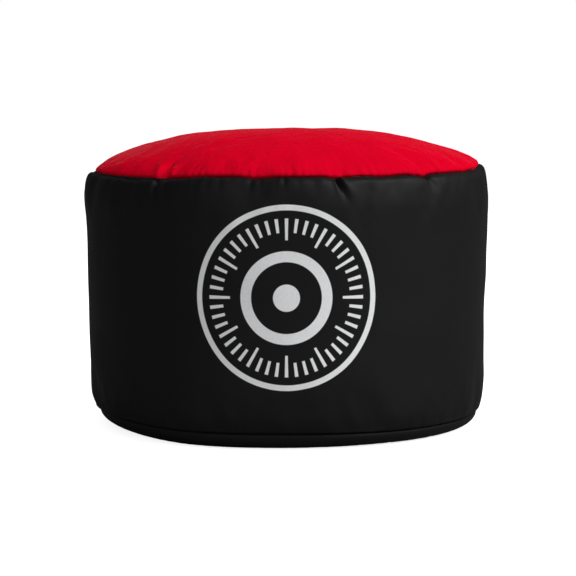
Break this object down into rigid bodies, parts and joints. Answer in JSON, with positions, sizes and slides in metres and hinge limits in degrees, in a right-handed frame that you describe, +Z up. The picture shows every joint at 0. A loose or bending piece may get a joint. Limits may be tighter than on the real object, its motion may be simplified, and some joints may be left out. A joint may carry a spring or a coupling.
{
  "type": "sandbag trainer",
  "caption": "Squat round sewn sandbag with a domed top, gathered ring seams, and a zipped filling mouth under a flap in its base.",
  "frame": {"origin": "centre of the base on the floor, under the bag's axis", "axes": "+Z up along the bag's axis, +X along the zip in the base towards its closed end, -Y towards the printed front"},
  "size_m": [0.401, 0.401, 0.29],
  "materials": {
    "red_cloth": "matte",
    "black_cloth": "matte",
    "black_tape": "matte",
    "loop_pile": "matte",
    "hook_pile": "matte",
    "zip_teeth": "satin",
    "zip_metal": "satin",
    "liner_film": "satin",
    "tie_plastic": "satin",
    "dry_sand": "matte"
  },
  "bodies": {
    "root": {"top_panel": "red_cloth", "side_panel": "black_cloth", "bottom_panel_front": "black_cloth", "bottom_panel_rear": "black_cloth", "top_seam_binding": "black_tape", "bottom_seam_binding": "black_tape", "back_seam_binding": "black_tape", "zip_tape_front": "black_tape", "zip_tape_rear": "black_tape", "zip_teeth_front": "zip_teeth", "zip_teeth_rear": "zip_teeth", "zip_bottom_stop": "zip_metal", "zip_top_stop_front": "zip_metal", "zip_top_stop_rear": "zip_metal", "flap_root": "black_cloth", "hook_strip": "hook_pile", "liner_bag": "liner_film", "liner_neck": "liner_film", "neck_tie": "tie_plastic", "sand_fill": "dry_sand"},
    "flap": {"closure_flap": "black_cloth", "loop_strip": "loop_pile"},
    "slider": {"zip_slider": "zip_metal"},
    "pull_tab": {"zip_pull_tab": "zip_metal"}
  },
  "joints": [
    {"name": "flap_hinge", "type": "hinge", "parent": "root", "child": "flap", "pos_m": [0, 0.037, 0.0005], "axis": [1, 0, 0], "range_deg": [0, 135]},
    {"name": "slider_travel", "type": "slide", "parent": "root", "child": "slider", "axis": [-1, 0, 0], "range_m": [0, 0.204], "deforming": ["zip_teeth_front", "zip_teeth_rear"]},
    {"name": "pull_tab_swing", "type": "hinge", "parent": "slider", "child": "pull_tab", "pos_m": [0.1046, 0, 0.0046], "axis": [0, -1, 0], "range_deg": [0, 90]}
  ],
  "couplings": [
    {"joint": "pull_tab_swing", "follows": "flap_hinge", "ratio": 0.66}
  ]
}
